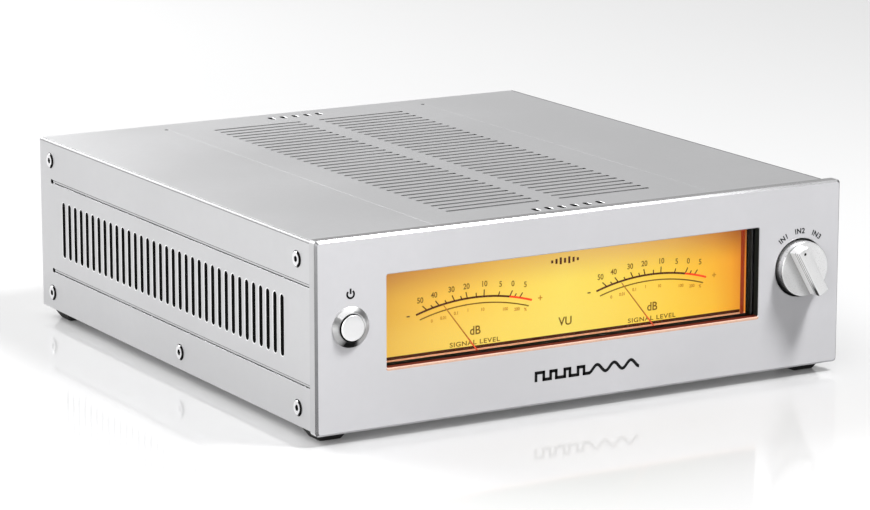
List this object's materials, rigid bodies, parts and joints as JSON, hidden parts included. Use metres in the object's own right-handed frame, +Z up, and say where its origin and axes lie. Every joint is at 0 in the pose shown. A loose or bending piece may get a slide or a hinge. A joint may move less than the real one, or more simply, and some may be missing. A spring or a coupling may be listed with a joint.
{
  "type": "desktop dac",
  "caption": "Desktop digital-to-analogue converter: slotted aluminium case, lit window with two needle meters, push power button and turning input selector.",
  "frame": {"origin": "centre of the footprint, knob and rear sockets included, on the surface the feet stand on", "axes": "+Z up, -Y is the front with the meters, +X to the right as seen from the front"},
  "size_m": [0.245, 0.2762, 0.081],
  "materials": {
    "front_aluminium": "bead-blasted and clear anodised, bright cut edges",
    "cover_aluminium": "bead-blasted and clear anodised",
    "inner_aluminium": "plain milled, satin",
    "screw_steel": "satin",
    "foot_rubber": "moulded matte",
    "window_glass": "clear polished",
    "housing_black": "matte moulded",
    "dial_amber": "printed translucent sheet, lit from behind",
    "circuit_board": "solder resist, satin",
    "needle_paint": "satin paint",
    "bezel_chrome": "polished",
    "button_aluminium": "fine satin",
    "knob_aluminium": "satin turned and milled",
    "shaft_steel": "turned",
    "gasket_rubber": "matte",
    "tube_glass": "clear blown",
    "transformer_iron": "taped winding, matte",
    "capacitor_plastic": "shrink sleeve, semi-gloss",
    "socket_plastic": "moulded",
    "socket_steel": "plated",
    "jack_brass": "gold-coloured plating, polished"
  },
  "bodies": {
    "chassis": {"front_panel": "front_aluminium", "top_cover": "cover_aluminium", "left_side_panel": "cover_aluminium", "right_side_panel": "cover_aluminium", "rear_panel": "inner_aluminium", "bottom_plate": "inner_aluminium", "post_front_left": "inner_aluminium", "post_front_right": "inner_aluminium", "post_rear_left": "inner_aluminium", "post_rear_right": "inner_aluminium", "foot_front_left": "foot_rubber", "foot_screw_front_left": "screw_steel", "foot_front_right": "foot_rubber", "foot_screw_front_right": "screw_steel", "foot_rear_left": "foot_rubber", "foot_screw_rear_left": "screw_steel", "foot_rear_right": "foot_rubber", "foot_screw_rear_right": "screw_steel", "side_screw_left_1": "screw_steel", "side_screw_left_2": "screw_steel", "side_screw_left_3": "screw_steel", "side_screw_left_4": "screw_steel", "side_screw_left_5": "screw_steel", "side_screw_right_1": "screw_steel", "side_screw_right_2": "screw_steel", "side_screw_right_3": "screw_steel", "side_screw_right_4": "screw_steel", "side_screw_right_5": "screw_steel", "rear_screw_1": "screw_steel", "rear_screw_2": "screw_steel", "rear_screw_3": "screw_steel", "rear_screw_4": "screw_steel", "meter_window": "window_glass", "meter_housing": "housing_black", "dial_plate": "dial_amber", "backlight_board": "circuit_board", "meter_movement_left": "housing_black", "meter_movement_right": "housing_black", "power_button_bezel": "bezel_chrome", "power_switch": "housing_black", "rotary_switch": "housing_black", "selector_gasket": "gasket_rubber", "main_board": "circuit_board", "tube_left": "tube_glass", "tube_right": "tube_glass", "transformer": "transformer_iron", "capacitor_left": "capacitor_plastic", "capacitor_right": "capacitor_plastic", "mains_inlet": "socket_plastic", "usb_socket": "socket_steel", "optical_socket": "socket_plastic", "coax_jack": "jack_brass", "line_out_left": "jack_brass", "line_out_right": "jack_brass"},
    "power_button": {"power_button": "button_aluminium"},
    "selector": {"selector_knob": "knob_aluminium", "selector_shaft": "shaft_steel"},
    "needle_left": {"needle_left": "needle_paint"},
    "needle_right": {"needle_right": "needle_paint"}
  },
  "joints": [
    {"name": "power_button_press", "type": "slide", "parent": "chassis", "child": "power_button", "axis": [0, 1, 0], "range_m": [0, 0.0015], "stiffness_N_per_m": 400},
    {"name": "selector_turn", "type": "hinge", "parent": "chassis", "child": "selector", "pos_m": [0.1026, -0.12805, 0.0462], "axis": [0, 1, 0], "range_deg": [0, 60]},
    {"name": "needle_left_swing", "type": "hinge", "parent": "chassis", "child": "needle_left", "pos_m": [-0.04298, -0.1187, 0.0239], "axis": [0, 1, 0], "range_deg": [-17, 87], "stiffness_Nm_per_rad": 0.00005},
    {"name": "needle_right_swing", "type": "hinge", "parent": "chassis", "child": "needle_right", "pos_m": [0.04018, -0.1187, 0.0239], "axis": [0, 1, 0], "range_deg": [-17, 87], "stiffness_Nm_per_rad": 0.00005}
  ]
}
